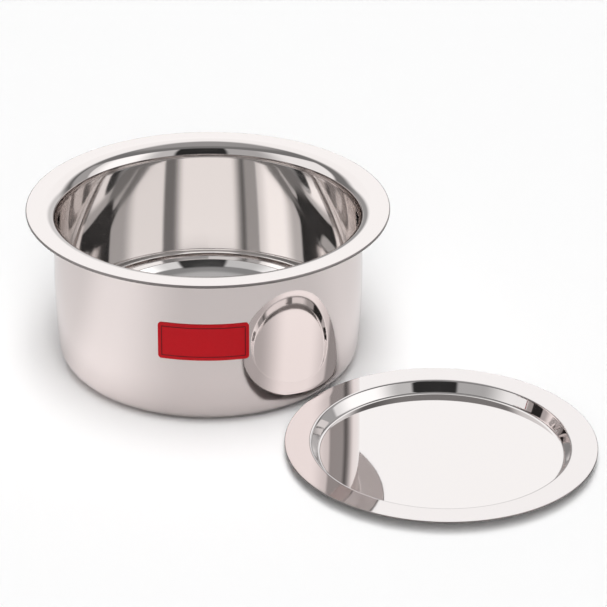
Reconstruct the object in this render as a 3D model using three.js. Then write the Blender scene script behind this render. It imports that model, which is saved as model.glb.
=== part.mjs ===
// A flanged steel cooking pot with its flat lid taken off and laid beside it.
// Millimetres, +Z up. The origin is the centre of the pot's base, on the floor.
// The pot and the lid are pressed from sheet, the pot with a thick base; the label is a sticker.
import * as THREE from 'three';

// Pot: a flat base, a round foot, a wall in one long curve, a round throat and a flat flange.
// The wall leans out at its foot and in again at its top. A core makes the base thicker than the
// wall, so the floor inside lies higher and meets the wall in a rounder bend than the one outside.
const POT_SHEET = 1.6;
const POT_HEIGHT = 93.2;
const FLANGE_RADIUS = 100;
const WALL_TOP_RADIUS = 83.8;
const WALL_FOOT_LEAN_DEGREES = 4.4;
const WALL_TOP_LEAN_DEGREES = -3.8;
const FOOT_BEND = 15;
const THROAT_BEND = 6.6;
const BASE_CORE = 6.9;
const INSIDE_FOOT_BEND = 21.6;

// Lid: a flat panel, a sloping step up and a wide flat rim
const LID_SHEET = 0.8;
const LID_SEAT_OVERLAP = 0.4;
const LID_RIM_WIDTH = 13.6;
const LID_STEP_HEIGHT = 6.6;
const LID_STEP_RUN = 3.6;
const LID_PANEL_BEND = 3;
const LID_STEP_BEND = 1.2;

// Where the lid lies: on the floor beside the pot, its rim just clear of the pot's round foot
const LID_STAND_OFF = 2.8;
const LID_AZIMUTH_DEGREES = -43.1;

// Label: a rounded sticker, bent round the front of the wall
const LABEL_WIDTH = 49;
const LABEL_HEIGHT = 21.3;
const LABEL_CORNER_RADIUS = 1.8;
const LABEL_THICKNESS = 0.2;
const LABEL_GLUE_GAP = 0.3;
const LABEL_MIDDLE_BELOW_RIM = 40.8;
const LABEL_AZIMUTH_DEGREES = -92.1;

// How finely round shapes are divided
const TURN_SEGMENTS = 64;
const BEND_STEP_DEGREES = 22.5;
const BEND_STEPS_LEAST = 4;
const SAME_POINT = 0.000001;
const LABEL_STRAIGHT_COLUMNS = 16;
const LABEL_CORNER_COLUMNS = 4;

const degrees = THREE.MathUtils.degToRad;

// How far from the corner of two straight lines a bend between them starts.
function bendReach(bend, turn) {
  return bend * Math.tan(turn / 2);
}

// The wall's long curve fills the height between the bends of the foot and the throat.
const footLean = degrees(WALL_FOOT_LEAN_DEGREES);
const topLean = degrees(WALL_TOP_LEAN_DEGREES);
const flangeUnderside = POT_HEIGHT - POT_SHEET;
const footReach = bendReach(FOOT_BEND, Math.PI / 2 - footLean);
const throatReach = bendReach(THROAT_BEND, Math.PI / 2 - topLean);
const bendHeights = footReach * Math.cos(footLean) + throatReach * Math.cos(topLean);
const wallReach = (flangeUnderside - bendHeights) / (Math.cos(footLean) + Math.cos(topLean));
const wallBend = wallReach / Math.tan((footLean - topLean) / 2);

// Corners of the pot's underside, from the middle of the base to the edge of the flange.
const throatCorner = { r: WALL_TOP_RADIUS, z: flangeUnderside, bend: THROAT_BEND };
const wallCorner = {
  r: throatCorner.r - (wallReach + throatReach) * Math.sin(topLean),
  z: throatCorner.z - (wallReach + throatReach) * Math.cos(topLean),
  bend: wallBend,
};
const footCorner = {
  r: wallCorner.r - (footReach + wallReach) * Math.sin(footLean),
  z: 0,
  bend: FOOT_BEND,
};
const potCorners = [
  { r: 0, z: 0 },
  footCorner,
  wallCorner,
  throatCorner,
  { r: FLANGE_RADIUS, z: flangeUnderside },
];

// Centre of the wall's long curve, square to the wall where the foot's bend ends.
const wallCentre = {
  r: footCorner.r + footReach * Math.sin(footLean) - wallBend * Math.cos(footLean),
  z: footReach * Math.cos(footLean) + wallBend * Math.sin(footLean),
};

// Inside, the same path starts higher by the core and turns up into the same wall curve.
const insideFootHeight = BASE_CORE + INSIDE_FOOT_BEND;
const insideLean = Math.asin((wallCentre.z - insideFootHeight) / (wallBend - INSIDE_FOOT_BEND));
const insideFootReach = bendReach(INSIDE_FOOT_BEND, Math.PI / 2 - insideLean);
const insideWallReach = bendReach(wallBend, insideLean - topLean);
const insideWallCorner = {
  r: throatCorner.r - (insideWallReach + throatReach) * Math.sin(topLean),
  z: throatCorner.z - (insideWallReach + throatReach) * Math.cos(topLean),
  bend: wallBend,
};
const insideFootCorner = {
  r: insideWallCorner.r - (insideFootReach + insideWallReach) * Math.sin(insideLean),
  z: BASE_CORE,
  bend: INSIDE_FOOT_BEND,
};
const insideCorners = [
  { r: 0, z: BASE_CORE },
  insideFootCorner,
  insideWallCorner,
  throatCorner,
  { r: FLANGE_RADIUS, z: flangeUnderside },
];

// Outer radius of the pot's wall at a height above the floor.
function wallRadius(z) {
  return wallCentre.r + Math.sqrt(wallBend ** 2 - (z - wallCentre.z) ** 2);
}

// Outer radius of the pot's round foot at a height above the floor.
function footRadius(z) {
  return footCorner.r - footReach + Math.sqrt(FOOT_BEND ** 2 - (FOOT_BEND - z) ** 2);
}

// Adds a point to a face, unless it repeats the one before it.
function addPoint(points, point) {
  const last = points[points.length - 1];
  if (!last || last.distanceTo(point) > SAME_POINT) {
    points.push(point);
  }
}

// One face of a bent sheet: straight runs between the corners, with an arc at each bend.
// A positive offset moves the whole face to the left of its path, about the same bend centres.
function facePoints(corners, offset) {
  const points = [];
  corners.forEach((corner, index) => {
    const here = new THREE.Vector2(corner.r, corner.z);
    const before = corners[Math.max(index - 1, 0)];
    const after = corners[Math.min(index + 1, corners.length - 1)];
    const arriving = new THREE.Vector2(corner.r - before.r, corner.z - before.z).normalize();
    const leaving = new THREE.Vector2(after.r - corner.r, after.z - corner.z).normalize();
    if (!corner.bend) {
      const along = index === 0 ? leaving : arriving;
      addPoint(points, new THREE.Vector2(here.x - along.y * offset, here.y + along.x * offset));
      return;
    }
    const turn = Math.atan2(arriving.cross(leaving), arriving.dot(leaving));
    const side = Math.sign(turn);
    const start = here.clone().addScaledVector(arriving, -bendReach(corner.bend, Math.abs(turn)));
    const centre = new THREE.Vector2(
      start.x - side * arriving.y * corner.bend,
      start.y + side * arriving.x * corner.bend,
    );
    const radius = corner.bend - side * offset;
    const firstAngle = Math.atan2(start.y - centre.y, start.x - centre.x);
    const bendSteps = Math.ceil(Math.abs(turn) / degrees(BEND_STEP_DEGREES));
    const steps = Math.max(BEND_STEPS_LEAST, bendSteps);
    for (let step = 0; step <= steps; step += 1) {
      const angle = firstAngle + (turn * step) / steps;
      addPoint(points, new THREE.Vector2(
        centre.x + radius * Math.cos(angle),
        centre.y + radius * Math.sin(angle),
      ));
    }
  });
  return points;
}

// A round pressed sheet, turned about the Z axis. Its upper side lies one thickness above its own
// path, which is the path of the underside wherever the sheet is single.
function turnedSheet(lowerCorners, upperCorners, thickness) {
  const underside = facePoints(lowerCorners, 0);
  const upperSide = facePoints(upperCorners, thickness).reverse();
  const geometry = new THREE.LatheGeometry([...underside, ...upperSide], TURN_SEGMENTS);
  geometry.rotateX(Math.PI / 2);
  return geometry;
}

// The lid drops into the pot's mouth until its edge meets the round of the throat.
const throatRadius = throatCorner.r + throatReach - THROAT_BEND - POT_SHEET;
const lidRimRadius = throatRadius + LID_SEAT_OVERLAP;
const lidStepRadius = lidRimRadius - LID_RIM_WIDTH;
const lidPanelRadius = lidStepRadius - LID_STEP_RUN;

// Corners of the lid's underside, from the middle of the panel to the edge of the rim.
const lidCorners = [
  { r: 0, z: 0 },
  { r: lidPanelRadius, z: 0, bend: LID_PANEL_BEND },
  { r: lidStepRadius, z: LID_STEP_HEIGHT, bend: LID_STEP_BEND },
  { r: lidRimRadius, z: LID_STEP_HEIGHT },
];

// Half the label's height at a distance from its middle, smaller within the round corners.
function labelHalfHeight(across) {
  const intoCorner = Math.max(0, Math.abs(across) - (LABEL_WIDTH / 2 - LABEL_CORNER_RADIUS));
  const cornerRise = Math.sqrt(Math.max(0, LABEL_CORNER_RADIUS ** 2 - intoCorner ** 2));
  return LABEL_HEIGHT / 2 - LABEL_CORNER_RADIUS + cornerRise;
}

// Distances across the label where its columns stand, closer together in the corners.
function labelColumns() {
  const straight = LABEL_WIDTH - 2 * LABEL_CORNER_RADIUS;
  const columns = [];
  for (let step = 0; step < LABEL_CORNER_COLUMNS; step += 1) {
    const angle = (Math.PI / 2) * (step / LABEL_CORNER_COLUMNS);
    columns.push(-straight / 2 - LABEL_CORNER_RADIUS * Math.cos(angle));
  }
  for (let step = 0; step <= LABEL_STRAIGHT_COLUMNS; step += 1) {
    columns.push(straight * (step / LABEL_STRAIGHT_COLUMNS - 0.5));
  }
  for (let step = LABEL_CORNER_COLUMNS - 1; step >= 0; step -= 1) {
    const angle = (Math.PI / 2) * (step / LABEL_CORNER_COLUMNS);
    columns.push(straight / 2 + LABEL_CORNER_RADIUS * Math.cos(angle));
  }
  return columns;
}

// The label as a closed band of columns on the wall, each column square to the wall's circle.
function labelGeometry() {
  const middle = POT_HEIGHT - LABEL_MIDDLE_BELOW_RIM;
  const back = LABEL_GLUE_GAP;
  const front = LABEL_GLUE_GAP + LABEL_THICKNESS;
  const corners = [[back, -1], [front, -1], [front, 1], [back, 1]];
  const columns = labelColumns();
  const positions = [];
  const triangles = [];
  columns.forEach((across) => {
    const angle = degrees(LABEL_AZIMUTH_DEGREES) + across / wallRadius(middle);
    corners.forEach(([lift, end]) => {
      const z = middle + end * labelHalfHeight(across);
      const radius = wallRadius(z) + lift;
      positions.push(radius * Math.cos(angle), radius * Math.sin(angle), z);
    });
  });
  for (let column = 0; column + 1 < columns.length; column += 1) {
    const first = column * corners.length;
    const next = first + corners.length;
    for (let side = 0; side < corners.length; side += 1) {
      const other = (side + 1) % corners.length;
      triangles.push(first + side, next + side, next + other);
      triangles.push(first + side, next + other, first + other);
    }
  }
  const last = (columns.length - 1) * corners.length;
  triangles.push(0, 1, 2, 0, 2, 3);
  triangles.push(last, last + 2, last + 1, last, last + 3, last + 2);
  const geometry = new THREE.BufferGeometry();
  geometry.setAttribute('position', new THREE.Float32BufferAttribute(positions, 3));
  geometry.setIndex(triangles);
  geometry.computeVertexNormals();
  return geometry;
}

function namedMesh(name, geometry, material) {
  const mesh = new THREE.Mesh(geometry, material);
  mesh.name = name;
  return mesh;
}

const potSteel = new THREE.MeshStandardMaterial({ color: 0xcfc8c6, roughness: 0.08, metalness: 1 });
const lidSteel = new THREE.MeshStandardMaterial({ color: 0xd8d3d0, roughness: 0.06, metalness: 1 });
const labelRed = new THREE.MeshStandardMaterial({ color: 0xc4161c, roughness: 0.35, metalness: 0 });

const pot = new THREE.Group();
pot.add(namedMesh('pot_body', turnedSheet(potCorners, insideCorners, POT_SHEET), potSteel));
pot.add(namedMesh('label', labelGeometry(), labelRed));

// The lid lies flat, as far out as its rim needs to clear the pot's foot at the rim's height.
const lidRimTop = LID_STEP_HEIGHT + LID_SHEET;
const lidDistance = footRadius(lidRimTop) + LID_STAND_OFF + lidRimRadius;
const lidAzimuth = degrees(LID_AZIMUTH_DEGREES);
const lid = namedMesh('lid', turnedSheet(lidCorners, lidCorners, LID_SHEET), lidSteel);
lid.position.set(lidDistance * Math.cos(lidAzimuth), lidDistance * Math.sin(lidAzimuth), 0);

const flangedPot = new THREE.Group();
flangedPot.add(pot, lid);

export default flangedPot;
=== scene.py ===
# %% [markdown]
# # A flanged steel pot and its lid
# The object is a low cooking pot drawn from stainless steel sheet, a flat lid pressed from another
# sheet, and a red sticker on the pot's wall. The solids and the joint come ready made in a frame.
# This lesson adds what the frame lacks: smooth polished surfaces, their finish, light and a camera.

# %% Load the frame
import math
import bmesh
import bpy
from mathutils import Matrix, Vector


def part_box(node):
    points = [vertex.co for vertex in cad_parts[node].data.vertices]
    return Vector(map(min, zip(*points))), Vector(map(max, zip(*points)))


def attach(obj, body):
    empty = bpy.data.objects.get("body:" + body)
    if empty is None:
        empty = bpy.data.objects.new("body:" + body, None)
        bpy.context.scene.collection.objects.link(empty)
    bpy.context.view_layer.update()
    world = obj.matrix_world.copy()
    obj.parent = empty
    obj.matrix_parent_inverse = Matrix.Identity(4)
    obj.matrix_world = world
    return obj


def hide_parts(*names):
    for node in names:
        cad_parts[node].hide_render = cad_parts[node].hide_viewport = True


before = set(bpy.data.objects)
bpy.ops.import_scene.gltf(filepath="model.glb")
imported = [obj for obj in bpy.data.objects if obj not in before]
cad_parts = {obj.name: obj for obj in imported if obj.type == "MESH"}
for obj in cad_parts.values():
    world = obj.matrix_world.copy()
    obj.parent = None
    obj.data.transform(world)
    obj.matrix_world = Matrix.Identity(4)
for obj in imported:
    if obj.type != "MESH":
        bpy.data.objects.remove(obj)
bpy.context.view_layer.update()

SCENE = bpy.context.scene
SCENE.view_settings.view_transform = "Standard"

# %% [markdown]
# ## Sizes
# The frame is in metres. The outer sizes are read from it, and the bends of the two sheets, which a
# box can't show, are written here in millimetres as a press shop would note them.

# %% Sizes of the pot and the lid
MM = 0.001
POT_LOW, POT_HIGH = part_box("pot_body")
FLANGE_RADIUS = (POT_HIGH.x - POT_LOW.x) / 2
POT_HEIGHT = POT_HIGH.z
POT_SHEET = 1.6 * MM
POT_EDGE_ROUND = 0.5 * MM
WALL_TOP_RADIUS = 83.8 * MM
WALL_FOOT_LEAN = math.radians(4.4)
WALL_TOP_LEAN = math.radians(-3.8)
FOOT_BEND = 15.0 * MM
THROAT_BEND = 6.6 * MM
BASE_CORE = 6.9 * MM
INSIDE_FOOT_BEND = 21.6 * MM

LID_LOW, LID_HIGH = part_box("lid")
LID_RADIUS = (LID_HIGH.x - LID_LOW.x) / 2
LID_SHEET = 0.8 * MM
LID_EDGE_ROUND = 0.3 * MM
LID_RIM_WIDTH = 13.6 * MM
LID_STEP_HEIGHT = LID_HIGH.z - LID_LOW.z - LID_SHEET
LID_STEP_RUN = 3.6 * MM
LID_PANEL_BEND = 3.0 * MM
LID_STEP_BEND = 1.2 * MM
print("flange", round(2 * FLANGE_RADIUS / MM, 1), "mm across, pot", round(POT_HEIGHT / MM, 1), "mm tall,",
      "lid", round(2 * LID_RADIUS / MM, 1), "mm across")

# %% [markdown]
# ## Corners of the two sheets
# A drawn pot is a chain of straight lines and bends: flat base, round foot, wall, round throat, flat
# flange. The wall itself is one very long bend, which leans out at the foot and in again at the top,
# and it fills the height that the foot and the throat leave. A core in the base lifts the floor
# inside, where a rounder bend leads up into the same wall. The lid has two bends and no curve.

# %% Corners as (radius, height, bend)
def bend_reach(bend, turn):
    """How far from the corner of two straight lines a bend between them starts."""
    return bend * math.tan(turn / 2)


flange_underside = POT_HEIGHT - POT_SHEET
foot_reach = bend_reach(FOOT_BEND, math.pi / 2 - WALL_FOOT_LEAN)
throat_reach = bend_reach(THROAT_BEND, math.pi / 2 - WALL_TOP_LEAN)
bend_heights = foot_reach * math.cos(WALL_FOOT_LEAN) + throat_reach * math.cos(WALL_TOP_LEAN)
wall_reach = (flange_underside - bend_heights) / (math.cos(WALL_FOOT_LEAN) + math.cos(WALL_TOP_LEAN))
WALL_BEND = wall_reach / math.tan((WALL_FOOT_LEAN - WALL_TOP_LEAN) / 2)
wall_corner_radius = WALL_TOP_RADIUS - (wall_reach + throat_reach) * math.sin(WALL_TOP_LEAN)
wall_corner_height = flange_underside - (wall_reach + throat_reach) * math.cos(WALL_TOP_LEAN)
foot_corner_radius = wall_corner_radius - (foot_reach + wall_reach) * math.sin(WALL_FOOT_LEAN)
THROAT_AND_FLANGE = [(WALL_TOP_RADIUS, flange_underside, THROAT_BEND), (FLANGE_RADIUS, flange_underside, 0)]
POT_CORNERS = [
    (0, 0, 0),
    (foot_corner_radius, 0, FOOT_BEND),
    (wall_corner_radius, wall_corner_height, WALL_BEND),
] + THROAT_AND_FLANGE

wall_start_radius = foot_corner_radius + foot_reach * math.sin(WALL_FOOT_LEAN)
wall_start_height = foot_reach * math.cos(WALL_FOOT_LEAN)
wall_centre_radius = wall_start_radius - WALL_BEND * math.cos(WALL_FOOT_LEAN)
wall_centre_height = wall_start_height + WALL_BEND * math.sin(WALL_FOOT_LEAN)
inside_rise = wall_centre_height - BASE_CORE - INSIDE_FOOT_BEND
inside_lean = math.asin(inside_rise / (WALL_BEND - INSIDE_FOOT_BEND))
inside_foot_reach = bend_reach(INSIDE_FOOT_BEND, math.pi / 2 - inside_lean)
inside_wall_reach = bend_reach(WALL_BEND, inside_lean - WALL_TOP_LEAN)
inside_wall_radius = WALL_TOP_RADIUS - (inside_wall_reach + throat_reach) * math.sin(WALL_TOP_LEAN)
inside_wall_height = flange_underside - (inside_wall_reach + throat_reach) * math.cos(WALL_TOP_LEAN)
inside_foot_radius = inside_wall_radius - (inside_foot_reach + inside_wall_reach) * math.sin(inside_lean)
INSIDE_CORNERS = [
    (0, BASE_CORE, 0),
    (inside_foot_radius, BASE_CORE, INSIDE_FOOT_BEND),
    (inside_wall_radius, inside_wall_height, WALL_BEND),
] + THROAT_AND_FLANGE
LID_CORNERS = [
    (0, 0, 0),
    (LID_RADIUS - LID_RIM_WIDTH - LID_STEP_RUN, 0, LID_PANEL_BEND),
    (LID_RADIUS - LID_RIM_WIDTH, LID_STEP_HEIGHT, LID_STEP_BEND),
    (LID_RADIUS, LID_STEP_HEIGHT, 0),
]
print("wall curve", round(WALL_BEND / MM), "mm in radius")

# %% [markdown]
# ## Profiles
# The upper face of a sheet is its lower one moved over by the thickness, round the same bend centres.
# Mirror steel shows every kink, so the bends get a point every two degrees, and each straight run
# starts and ends with a short piece that keeps the shading of the flat parts flat. The outer edge of
# the sheet is rounded, as a trimmed edge is.

# %% Profiles from corners and bends
BEND_STEP = math.radians(2.0)
LONGEST_STEP = 2.0 * MM
FEWEST_STEPS = 6
RUN_END = 0.4 * MM


def add_run(points, end):
    """Adds a straight run to a point, with a short piece at either end of a long one."""
    along = end - points[-1]
    if along.length > 4 * RUN_END:
        piece = RUN_END * along.normalized()
        if points[-1].x > 0:
            points.append(points[-1] + piece)
        points.append(end - piece)
    if along.length > 0.01 * RUN_END:
        points.append(end)


def arc(centre, radius, first, turn):
    """Points along an arc, close enough together for a mirror finish."""
    steps = max(FEWEST_STEPS, math.ceil(abs(turn) / BEND_STEP), math.ceil(radius * abs(turn) / LONGEST_STEP))
    angles = [first + turn * step / steps for step in range(steps + 1)]
    return [centre + radius * Vector((math.cos(angle), math.sin(angle))) for angle in angles]


def face_of_sheet(corners, offset):
    """Points (radius, height) of one face, from the axis to the edge."""
    points = [Vector((0, corners[0][1] + offset))]
    for index in range(1, len(corners) - 1):
        here = Vector(corners[index][:2])
        bend = corners[index][2]
        arriving = (here - Vector(corners[index - 1][:2])).normalized()
        leaving = (Vector(corners[index + 1][:2]) - here).normalized()
        turn = arriving.angle_signed(leaving, 0) * -1
        side = math.copysign(1, turn)
        start = here - bend_reach(bend, abs(turn)) * arriving
        centre = start + side * bend * Vector((-arriving.y, arriving.x))
        first = math.atan2(start.y - centre.y, start.x - centre.x)
        bent = arc(centre, bend - side * offset, first, turn)
        add_run(points, bent[0])
        points.extend(bent[1:])
    add_run(points, Vector((corners[-1][0], corners[-1][1] + offset)))
    return points


def sheet_profile(lower, upper, thickness, edge_round):
    """Outline of a sheet: underside, round edge and upper side, and where the last two start."""
    edge_radius, edge_height, _ = lower[-1]
    flat_end = [(edge_radius - edge_round, edge_height, 0)]
    outline = face_of_sheet(lower[:-1] + flat_end, 0)
    edge_start = len(outline)
    low = Vector((edge_radius - edge_round, edge_height + edge_round))
    high = Vector((edge_radius - edge_round, edge_height + thickness - edge_round))
    outline += arc(low, edge_round, -math.pi / 2, math.pi / 2)[1:]
    outline += arc(high, edge_round, 0, math.pi / 2)[:-1]
    upper_start = len(outline)
    outline += face_of_sheet(upper[:-1] + flat_end, thickness)[::-1]
    return outline, edge_start, upper_start


POT_PROFILE = sheet_profile(POT_CORNERS, INSIDE_CORNERS, POT_SHEET, POT_EDGE_ROUND)
LID_PROFILE = sheet_profile(LID_CORNERS, LID_CORNERS, LID_SHEET, LID_EDGE_ROUND)
print("pot profile", len(POT_PROFILE[0]), "points, lid profile", len(LID_PROFILE[0]), "points")

# %% [markdown]
# ## Shader wires
# A finish is a sum of small things: streaks, ripples, smudges. This class wraps a shader socket so
# that such sums can be written as Python expressions, and its one method adds any other node.

# %% A socket that can be added and multiplied
class Wire:
    """A value or colour on its way through a material's nodes."""

    def __init__(self, tree, socket):
        self.tree = tree
        self.socket = socket

    def node(self, kind, settings=None, output=0, **sockets):
        """Adds a node, sets it up, then feeds its sockets with numbers or wires."""
        made = self.tree.nodes.new(kind)
        for name, value in (settings or {}).items():
            setattr(made, name, value)
        for name, value in sockets.items():
            key = int(name[1:]) if name[1:].isdigit() else name.replace("_", " ")
            if isinstance(value, Wire):
                self.tree.links.new(value.socket, made.inputs[key])
            else:
                made.inputs[key].default_value = value
        return Wire(self.tree, made.outputs[output])

    def maths(self, operation, first, second=0.0):
        return self.node("ShaderNodeMath", {"operation": operation}, _0=first, _1=second)

    def ramp(self, low, high):
        """0 below low, 1 above high and a smooth rise between; low may be the larger."""
        return self.node("ShaderNodeMapRange", {"interpolation_type": "SMOOTHSTEP"}, Value=self,
                         From_Min=low, From_Max=high)

    def __add__(self, other):
        return self.maths("ADD", self, other)

    def __sub__(self, other):
        return self.maths("SUBTRACT", self, other)

    def __rsub__(self, other):
        return self.maths("SUBTRACT", other, self)

    def __mul__(self, other):
        return self.maths("MULTIPLY", self, other)

    __radd__ = __add__
    __rmul__ = __mul__


def new_material(name):
    """A material with its shader's sockets at hand, and a wire to start from."""
    material = bpy.data.materials.new(name)
    material.use_nodes = True
    shader = material.node_tree.nodes["Principled BSDF"]
    start = Wire(material.node_tree, None)
    return material, shader, start


def feed(shader, socket, wire):
    wire.tree.links.new(wire.socket, shader.inputs[socket])


def colour_mix(start, factor, first, second):
    """A colour between two others, which may be wires or plain (r, g, b)."""
    first = first if isinstance(first, Wire) else (*first, 1.0)
    second = second if isinstance(second, Wire) else (*second, 1.0)
    return start.node("ShaderNodeMix", {"data_type": "RGBA"}, output=2, Factor=factor, _6=first, _7=second)


# %% [markdown]
# ## Polished steel
# The sheet is polished on a turning wheel, so its finest marks run round the pot and the lid. Under
# them the sheet has a faint ripple from the press, and on top there are a few dull smudges. The
# trimmed edge of the sheet is rougher, and its dark tint is painted shade, the dark line along the
# rounded edge. The real pieces are steel of one colour. Here the outer wall, the inside, the flange
# and the lid have tints and roughnesses of their own, because the studio that they mirror is only
# roughly known: the tints are painted light and shade that make up for that.

# %% Polished steel finish
# The edge's dark tint is painted shade, the dark line along the rounded trimmed edge; its roughness is the
# edge's real dullness.
EDGE_SHADE_TINT = (0.24, 0.22, 0.215)
EDGE_ROUGHNESS = 0.35
SMUDGE_SCALE = 28.0
RIPPLE_SCALE = 34.0
STREAKS_PER_METRE = 2600.0
RIPPLE_DEPTH = 0.1 * MM
RIPPLE_STRENGTH = 0.05


def polished_steel(name, under, upper, top, top_low, top_high):
    """Steel whose zones are (tint, roughness): underside, upper side, and all above a height; the tints are
    painted light and shade.
    """
    material, shader, start = new_material(name)
    shader.inputs["Metallic"].default_value = 1.0
    run = start.node("ShaderNodeAttribute", {"attribute_name": "sheet_run"}, output=2)
    on_upper = start.node("ShaderNodeAttribute", {"attribute_name": "upper_side"}, output=2)
    on_edge = start.node("ShaderNodeAttribute", {"attribute_name": "trimmed_edge"}, output=2)
    place = start.node("ShaderNodeTexCoord", output=3)
    on_top = start.node("ShaderNodeSeparateXYZ", output=2, Vector=place).ramp(top_low, top_high)
    smudge = start.node("ShaderNodeTexNoise", Vector=place, Scale=SMUDGE_SCALE, Detail=4.0, Roughness=0.6)
    one_way = {"noise_dimensions": "1D"}
    streak = start.node("ShaderNodeTexNoise", one_way, W=run * STREAKS_PER_METRE, Scale=1.0, Detail=3.0)
    ripple = start.node("ShaderNodeTexNoise", Vector=place, Scale=RIPPLE_SCALE, Detail=1.0)
    # The zone tints are painted light and shade, and the edge tint is painted shade.
    tint = colour_mix(start, on_top, upper[0], top[0])
    tint = colour_mix(start, on_upper, under[0], tint)
    tint = colour_mix(start, on_edge, tint, EDGE_SHADE_TINT)
    feed(shader, "Base Color", tint)
    rough = upper[1] + on_top * (top[1] - upper[1])
    rough = under[1] + on_upper * (rough - under[1])
    rough = rough + on_edge * (EDGE_ROUGHNESS - rough)
    feed(shader, "Roughness", rough * (0.7 + 0.35 * smudge + 0.25 * streak))
    relief = ripple + 0.1 * streak
    bump = start.node("ShaderNodeBump", Strength=RIPPLE_STRENGTH, Distance=RIPPLE_DEPTH, Height=relief)
    feed(shader, "Normal", bump)
    return material


# The tints of these zones are painted light and shade; the steel itself is of one colour.
POT_STEEL = polished_steel(
    "pot_steel",
    under=((0.79, 0.715, 0.70), 0.04),
    upper=((0.80, 0.775, 0.765), 0.05),
    top=((0.595, 0.562, 0.552), 0.03),
    top_low=POT_HEIGHT - 9 * MM,
    top_high=POT_HEIGHT - 8 * MM,
)
# The lid's zone tints are painted light and shade as well.
LID_STEEL = polished_steel(
    "lid_steel",
    under=((0.61, 0.58, 0.57), 0.05),
    upper=((0.60, 0.575, 0.568), 0.03),
    top=((0.585, 0.558, 0.552), 0.04),
    top_low=LID_HIGH.z - 1.0 * MM,
    top_high=LID_HIGH.z - 0.5 * MM,
)
print("finishes", POT_STEEL.name, LID_STEEL.name)

# %% [markdown]
# ## Turning the sheets
# Both sheets are round, so their shape follows one rule: a profile swept round a circle. A small
# Geometry Nodes tree does that for both, as a lathe would, with the number of steps as an input.

# %% The lathe tree
HUB = 1.0 * MM
TURN_STEPS = 240


def lathe_tree():
    """A tree that sweeps a profile round the Z axis and welds the seam and the poles."""
    tree = bpy.data.node_groups.new("turned_sheet", "GeometryNodeTree")
    face = tree.interface
    face.new_socket("Profile", in_out="INPUT", socket_type="NodeSocketGeometry")
    face.new_socket("Turn steps", in_out="INPUT", socket_type="NodeSocketInt")
    face.new_socket("Hub radius", in_out="INPUT", socket_type="NodeSocketFloat")
    face.new_socket("Finish", in_out="INPUT", socket_type="NodeSocketMaterial")
    face.new_socket("Sheet", in_out="OUTPUT", socket_type="NodeSocketGeometry")
    nodes = tree.nodes
    given = nodes.new("NodeGroupInput")
    profile = nodes.new("GeometryNodeMeshToCurve")
    circle = nodes.new("GeometryNodeCurvePrimitiveCircle")
    sweep = nodes.new("GeometryNodeCurveToMesh")
    weld = nodes.new("GeometryNodeMergeByDistance")
    smooth = nodes.new("GeometryNodeSetShadeSmooth")
    realise = nodes.new("GeometryNodeRealizeInstances")
    finish = nodes.new("GeometryNodeSetMaterial")
    result = nodes.new("NodeGroupOutput")
    weld.inputs["Distance"].default_value = 0.001 * MM
    link = tree.links.new
    link(given.outputs["Profile"], profile.inputs["Mesh"])
    link(given.outputs["Turn steps"], circle.inputs["Resolution"])
    link(given.outputs["Hub radius"], circle.inputs["Radius"])
    link(circle.outputs["Curve"], sweep.inputs["Curve"])
    link(profile.outputs["Curve"], sweep.inputs["Profile Curve"])
    link(sweep.outputs["Mesh"], weld.inputs["Geometry"])
    link(weld.outputs["Geometry"], smooth.inputs["Geometry"])
    link(smooth.outputs["Geometry"], realise.inputs["Geometry"])
    link(realise.outputs["Geometry"], finish.inputs["Geometry"])
    link(given.outputs["Finish"], finish.inputs["Material"])
    link(finish.outputs["Geometry"], result.inputs["Sheet"])
    return tree


LATHE = lathe_tree()
INPUTS = {item.name: item.identifier for item in LATHE.interface.items_tree if item.in_out == "INPUT"}
print("lathe inputs", INPUTS)

# %% Sweep a profile into a piece
def swept_piece(name, sheet, steel, place):
    """Turns a profile about Z, moves it to its place and gives back a plain mesh object."""
    profile, edge_start, upper_start = sheet
    outline = bpy.data.meshes.new(name + "_outline")
    points = [(p.x - HUB, -p.y, 0.0) for p in profile]
    edges = [(i, i + 1) for i in range(len(points) - 1)]
    outline.from_pydata(points, edges, [])
    run = outline.attributes.new("sheet_run", "FLOAT", "POINT")
    upper = outline.attributes.new("upper_side", "FLOAT", "POINT")
    edge = outline.attributes.new("trimmed_edge", "FLOAT", "POINT")
    length = 0.0
    for index, point in enumerate(profile):
        length += (point - profile[max(index - 1, 0)]).length
        run.data[index].value = length
        upper.data[index].value = float(index >= upper_start)
        edge.data[index].value = float(edge_start <= index < upper_start)
    lathe = bpy.data.objects.new(name + "_lathe", outline)
    SCENE.collection.objects.link(lathe)
    modifier = lathe.modifiers.new("lathe", "NODES")
    modifier.node_group = LATHE
    modifier[INPUTS["Turn steps"]] = TURN_STEPS
    modifier[INPUTS["Hub radius"]] = HUB
    modifier[INPUTS["Finish"]] = steel
    mesh = bpy.data.meshes.new_from_object(lathe.evaluated_get(bpy.context.evaluated_depsgraph_get()))
    mesh.name = name
    bpy.data.objects.remove(lathe)
    shell = bmesh.new()
    shell.from_mesh(mesh)
    bmesh.ops.recalc_face_normals(shell, faces=shell.faces)
    open_edges = sum(1 for edge in shell.edges if not edge.is_manifold)
    shell.to_mesh(mesh)
    shell.free()
    mesh.transform(place)
    piece = bpy.data.objects.new(name, mesh)
    SCENE.collection.objects.link(piece)
    print(name, len(mesh.polygons), "faces,", open_edges, "open edges,", sorted(mesh.attributes.keys()))
    return piece


# %% [markdown]
# ## The pot
# The pot stands on the frame's origin, so its profile is turned in place.

# %% Pot body
pot = swept_piece("polished_pot", POT_PROFILE, POT_STEEL, Matrix())
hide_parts("pot_body")
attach(pot, "pot")

# %% [markdown]
# ## The lid
# The lid lies flat on the floor beside the pot. Its middle is the middle of its box in the frame.

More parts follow.
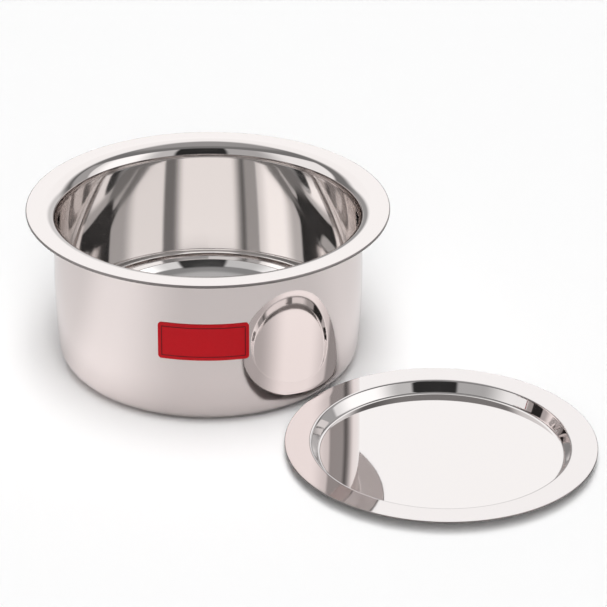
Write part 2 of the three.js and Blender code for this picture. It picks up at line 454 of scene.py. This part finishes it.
# %% Lid
LID_MIDDLE = (LID_LOW + LID_HIGH) / 2
LID_PLACE = Matrix.Translation((LID_MIDDLE.x, LID_MIDDLE.y, LID_LOW.z))
lid = swept_piece("polished_lid", LID_PROFILE, LID_STEEL, LID_PLACE)
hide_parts("lid")
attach(lid, "lid")

# %% [markdown]
# ## The label's finish
# The sticker is glossy red film with a thin dark line printed inside its edge. The line keeps the
# same distance from the edge all round, so it comes from the distance to a rounded rectangle, in
# millimetres across and up the sticker, which the mesh carries as its UV map.

# %% Red film with a dark line
LABEL_WIDTH = 49.0
LABEL_HEIGHT = 21.3
LABEL_CORNER = 1.8
LINE_INSET = 2.1
LINE_WIDTH = 0.55
LINE_SOFTNESS = 0.12
RED = (0.43, 0.003, 0.008)
PALE_RED = (0.4816, 0.0045, 0.0104)
DARK_RED = (0.09, 0.003, 0.006)


def red_film():
    """Red film whose line keeps its distance from a rounded rectangle's edge."""
    material, shader, start = new_material("label_red")
    shader.inputs["Roughness"].default_value = 0.3
    shader.inputs["Specular IOR Level"].default_value = 0.15
    place = start.node("ShaderNodeUVMap", {"uv_map": "label_mm"})
    across = start.node("ShaderNodeSeparateXYZ", Vector=place)
    up = start.node("ShaderNodeSeparateXYZ", output=1, Vector=place)
    beside = start.maths("ABSOLUTE", across) - (LABEL_WIDTH / 2 - LABEL_CORNER)
    above = start.maths("ABSOLUTE", up) - (LABEL_HEIGHT / 2 - LABEL_CORNER)
    out_x = start.maths("MAXIMUM", beside, 0.0)
    out_y = start.maths("MAXIMUM", above, 0.0)
    round_part = start.maths("SQRT", out_x * out_x + out_y * out_y)
    flat_part = start.maths("MINIMUM", start.maths("MAXIMUM", beside, above), 0.0)
    inside = LABEL_CORNER - round_part - flat_part
    off_line = start.maths("ABSOLUTE", inside - LINE_INSET)
    line = off_line.ramp(LINE_WIDTH / 2 + LINE_SOFTNESS, LINE_WIDTH / 2 - LINE_SOFTNESS)
    mottle = start.node("ShaderNodeTexNoise", Vector=place, Scale=0.5, Detail=3.0)
    red = colour_mix(start, mottle, RED, PALE_RED)
    feed(shader, "Base Color", colour_mix(start, line, red, DARK_RED))
    return material


LABEL_RED = red_film()
print("label finish", LABEL_RED.name)

# %% [markdown]
# ## The label
# The film bends round the wall, so each of its points stands on the wall's own curve: an angle round
# the pot, a height and a small lift. Columns of points get shorter in the round corners.

# %% Label piece
LABEL_LIFT = 0.5 * MM
LABEL_BACK = 0.05 * MM
LABEL_COLUMNS = 96
LABEL_ROWS = 24
LABEL_LOW, LABEL_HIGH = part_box("label")
LABEL_MIDDLE = (LABEL_LOW + LABEL_HIGH) / 2
LABEL_AZIMUTH = math.radians(-92.1)


def wall_radius(height):
    """Outer radius of the pot's wall at a height above the floor."""
    return wall_centre_radius + math.sqrt(WALL_BEND ** 2 - (height - wall_centre_height) ** 2)


def label_half_height(across):
    """Half the label's height at a distance from its middle, smaller within the round corners."""
    into_corner = max(0.0, abs(across) - (LABEL_WIDTH / 2 - LABEL_CORNER))
    return LABEL_HEIGHT / 2 - LABEL_CORNER + math.sqrt(max(0.0, LABEL_CORNER ** 2 - into_corner ** 2))


def label_point(across, up, lift):
    """A point on the wall's curve, from millimetres across and up the label."""
    angle = LABEL_AZIMUTH + across * MM / wall_radius(LABEL_MIDDLE.z)
    height = LABEL_MIDDLE.z + up * MM
    radius = wall_radius(height) + lift
    return (radius * math.cos(angle), radius * math.sin(angle), height)


def label_grid(film, lift):
    """Rows and columns of corners on one face of the film, with their millimetres."""
    grid = []
    for column in range(LABEL_COLUMNS + 1):
        across = -LABEL_WIDTH / 2 * math.cos(math.pi * column / LABEL_COLUMNS)
        half = label_half_height(across)
        ups = [half * (2 * row / LABEL_ROWS - 1) for row in range(LABEL_ROWS + 1)]
        grid.append([(film.verts.new(label_point(across, up, lift)), (across, up)) for up in ups])
    return grid


film = bmesh.new()
front = label_grid(film, LABEL_LIFT)
back = label_grid(film, LABEL_BACK)
label_uv = film.loops.layers.uv.new("label_mm")


def film_face(corners):
    """Adds one smooth face of the film, with its millimetres as UV."""
    face = film.faces.new([vertex for vertex, _ in corners])
    face.smooth = True
    for loop, (_, place) in zip(face.loops, corners):
        loop[label_uv].uv = place


for c in range(LABEL_COLUMNS):
    for r in range(LABEL_ROWS):
        film_face([front[c][r], front[c + 1][r], front[c + 1][r + 1], front[c][r + 1]])
        film_face([back[c][r], back[c][r + 1], back[c + 1][r + 1], back[c + 1][r]])
    film_face([front[c][0], back[c][0], back[c + 1][0], front[c + 1][0]])
    film_face([front[c][-1], front[c + 1][-1], back[c + 1][-1], back[c][-1]])
for r in range(LABEL_ROWS):
    film_face([front[0][r], front[0][r + 1], back[0][r + 1], back[0][r]])
    film_face([front[-1][r], back[-1][r], back[-1][r + 1], front[-1][r + 1]])
label_mesh = bpy.data.meshes.new("red_sticker")
open_edges = sum(1 for edge in film.edges if not edge.is_manifold)
bmesh.ops.recalc_face_normals(film, faces=film.faces)
film.to_mesh(label_mesh)
film.free()
label_mesh.set_sharp_from_angle(angle=math.radians(40))
label_mesh.materials.append(LABEL_RED)
label = bpy.data.objects.new("red_sticker", label_mesh)
SCENE.collection.objects.link(label)
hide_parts("label")
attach(label, "pot")
print("label", len(label_mesh.polygons), "faces,", open_edges, "open edges")

# %% [markdown]
# ## Floor and soft light
# The set is a plain white floor under a soft white sky. It is brightest in a broad strip from overhead
# towards the camera, as under a long softbox, so the shadows stay close to the pieces and light
# reaches under the rims. The camera itself sees the sky as plain white.

# %% Floor and sky
FLOOR_SIZE = 8.0
FLOOR_WHITE = (0.95, 0.95, 0.95, 1)
SOFTBOX_WAY = (0.0, -0.42, 0.907)
SOFTBOX_LEVEL = 6.8
LOW_SKY_LEVEL = 0.10


def flat_card(name, size, height):
    """A square card that lies level, with a material of its own."""
    half = size / 2
    corners = [(-half, -half, height), (half, -half, height), (half, half, height), (-half, half, height)]
    mesh = bpy.data.meshes.new(name)
    mesh.from_pydata(corners, [], [(0, 1, 2, 3)])
    card = bpy.data.objects.new(name, mesh)
    SCENE.collection.objects.link(card)
    material, shader, start = new_material(name)
    shader.inputs["Specular IOR Level"].default_value = 0.0
    mesh.materials.append(material)
    return card, shader, start


floor, floor_shader, _ = flat_card("floor", FLOOR_SIZE, 0)
floor_shader.inputs["Base Color"].default_value = FLOOR_WHITE
floor_shader.inputs["Roughness"].default_value = 0.9
sky = bpy.data.worlds.new("sky")
SCENE.world = sky
sky.use_nodes = True
sky_start = Wire(sky.node_tree, None)
sky_way = sky_start.node("ShaderNodeTexCoord")
dot = {"operation": "DOT_PRODUCT"}
facing = sky_start.node("ShaderNodeVectorMath", dot, output=1, _0=sky_way, _1=SOFTBOX_WAY)
beside = sky_start.maths("ABSOLUTE", sky_start.node("ShaderNodeSeparateXYZ", Vector=sky_way))
seen = sky_start.node("ShaderNodeLightPath")
sky_light = LOW_SKY_LEVEL + SOFTBOX_LEVEL * facing.ramp(0.60, 0.95) * beside.ramp(0.34, 0.05)
feed(sky.node_tree.nodes["Background"], "Color", sky_light + seen * (1.0 - sky_light))
print("floor", FLOOR_SIZE, "m wide, softbox towards", SOFTBOX_WAY)

# %% [markdown]
# ## What the steel mirrors
# A mirror looks like its surroundings, so the steel needs a studio to show: a bright backdrop behind,
# a softbox at either side, a grey ceiling and the dark place where the camera stands. They are painted
# on a dome that only mirror rays see, so they leave the light on the floor as it is. Turn is the angle
# round the pot, 0 towards the camera and positive to the right, and rise the angle above the floor.

# %% Studio dome
DOME_RADIUS = 3.0
CEILING = 0.28
OVERHEAD = 0.48
LEFT_BOX_FRONT = 0.64
LEFT_BOX_SIDE = 1.36
RIGHT_BOX_FRONT = 0.82
RIGHT_BOX_SIDE = 1.72
RIGHT_BOX_FADE = 0.5
RIGHT_GAP_NEAR = 0.56
RIGHT_GAP_FAR = 0.20
BACKDROP = 1.5
LOW_BACKDROP_LEFT = 0.45
LOW_BACKDROP_RIGHT = 0.90
CAMERA_SLOT = 0.04


def for_mirror_rays_only(thing):
    """Takes a part of the set out of the picture and out of the light, but not out of reflections."""
    thing.visible_camera = False
    thing.visible_diffuse = False
    thing.visible_shadow = False


def blend(first, second, factor):
    """A level between two others, from a factor that runs from 0 to 1."""
    return first + factor * (second - first)


def between(value, low, high, soft):
    """1 between two angles, with soft edges."""
    return value.ramp(low - soft, low + soft) * value.ramp(high + soft, high - soft)


def turn_about_pot(start):
    """The angle round the pot's axis, and the place it was worked out from."""
    place = start.node("ShaderNodeTexCoord", output=3)
    across = start.node("ShaderNodeSeparateXYZ", Vector=place)
    towards = start.node("ShaderNodeSeparateXYZ", output=1, Vector=place) * -1.0
    return start.maths("ARCTAN2", across, towards) * (180 / math.pi), place


dome_mesh = bpy.data.meshes.new("studio_dome")
dome_shape = bmesh.new()
bmesh.ops.create_uvsphere(dome_shape, u_segments=96, v_segments=48, radius=DOME_RADIUS)
dome_shape.to_mesh(dome_mesh)
dome_shape.free()
dome = bpy.data.objects.new("studio_dome", dome_mesh)
SCENE.collection.objects.link(dome)
dome_material, dome_shader, start = new_material("studio_dome")
dome_shader.inputs["Base Color"].default_value = (0, 0, 0, 1)
dome_shader.inputs["Roughness"].default_value = 1.0
dome_shader.inputs["Specular IOR Level"].default_value = 0.0
dome_shader.inputs["Emission Strength"].default_value = 1.0
turn, place = turn_about_pot(start)
side = start.maths("ABSOLUTE", turn)
height = start.node("ShaderNodeSeparateXYZ", output=2, Vector=place)
rise = start.maths("ARCSINE", height * (1 / DOME_RADIUS)) * (180 / math.pi)
under_ceiling = rise.ramp(49, 45)
left_box = blend(LEFT_BOX_FRONT, LEFT_BOX_SIDE, turn.ramp(-38, -66))
right_box = blend(RIGHT_BOX_FRONT, RIGHT_BOX_SIDE, turn.ramp(36, 60)) - RIGHT_BOX_FADE * turn.ramp(80, 100)
right_gap = blend(RIGHT_GAP_NEAR, RIGHT_GAP_FAR, turn.ramp(118, 125))
low_back = blend(LOW_BACKDROP_LEFT, LOW_BACKDROP_RIGHT, turn.ramp(-20, 20))
backdrop = blend(low_back, BACKDROP, rise.ramp(14, 25))
light = blend(CEILING, OVERHEAD, rise.ramp(60, 72))
light = blend(light, left_box, between(turn, -110, -13, 3) * under_ceiling)
light = blend(light, right_box, between(turn, 23, 102, 3) * under_ceiling)
light = blend(light, right_gap, between(turn, 102, 138, 3) * under_ceiling)
light = blend(light, backdrop, side.ramp(124, 144) * rise.ramp(76, 62))
light = blend(light, CAMERA_SLOT, between(turn, -15, 25, 2) * rise.ramp(54, 46))
feed(dome_shader, "Emission Color", light)
dome_mesh.materials.append(dome_material)
for_mirror_rays_only(dome)
print("dome", len(dome_mesh.polygons), "faces")

# %% [markdown]
# ## What the wall mirrors
# The wall looks down, so it mirrors the floor, and an evenly white floor would leave it flat. A dark
# card of painted shade lies on the floor for mirror rays alone, painting shade into the floor that the
# wall mirrors: clear at the left, where the wall has its bright band, and darker in front, towards the
# camera.

# %% Painted floor shade card
SHADE_CARD_SIZE = 1.6
SHADE_CARD_HEIGHT = 0.02 * MM
FRONT_DARKNESS = 0.31
RIGHT_CLEARING = 0.13
FAR_LEFT_DARKNESS = 0.2
floor_shade_card, shade_card_shader, start = flat_card("floor_shade_card", SHADE_CARD_SIZE, SHADE_CARD_HEIGHT)
shade_card_shader.inputs["Base Color"].default_value = (0, 0, 0, 1)
turn, _ = turn_about_pot(start)
# Painted shade: the card darkens the floor that the wall mirrors, most in front, less at the right, not at
# the left, and some at the far left.
dark = FRONT_DARKNESS * turn.ramp(-58, -12) - RIGHT_CLEARING * turn.ramp(60, 95)
feed(shade_card_shader, "Alpha", dark + FAR_LEFT_DARKNESS * turn.ramp(-66, -92))
for_mirror_rays_only(floor_shade_card)
print("floor shade card", SHADE_CARD_SIZE, "m wide")

# %% [markdown]
# ## Camera
# The camera stands in front of the pot and looks down at it. A long lens from about 1.7 m away gives
# the near-parallel look of a catalogue picture. Light may bounce often between the walls inside.

# %% Camera
PHOTO_WIDTH = 607
FOCAL_PIXELS = 3118.6
CAMERA_DISTANCE = 1.715
CAMERA_ELEVATION = math.radians(25.059)
CAMERA_PAN = math.radians(1.948)
CAMERA_DIP = math.radians(26.869)
CAMERA_ROLL = math.radians(0.415)
camera_data = bpy.data.cameras.new("camera")
camera = bpy.data.objects.new("camera", camera_data)
SCENE.collection.objects.link(camera)
SCENE.camera = camera
camera_data.sensor_width = 36
camera_data.lens = FOCAL_PIXELS * camera_data.sensor_width / PHOTO_WIDTH
camera_data.clip_end = 40
camera.location = (
    0,
    -CAMERA_DISTANCE * math.cos(CAMERA_ELEVATION),
    POT_HEIGHT + CAMERA_DISTANCE * math.sin(CAMERA_ELEVATION),
)
camera.rotation_euler = (math.pi / 2 - CAMERA_DIP, 0, -CAMERA_PAN)
camera.rotation_euler.rotate_axis("Z", CAMERA_ROLL)
SCENE.cycles.glossy_bounces = 12
SCENE.cycles.max_bounces = 16
print("lens", round(camera_data.lens, 1), "mm")
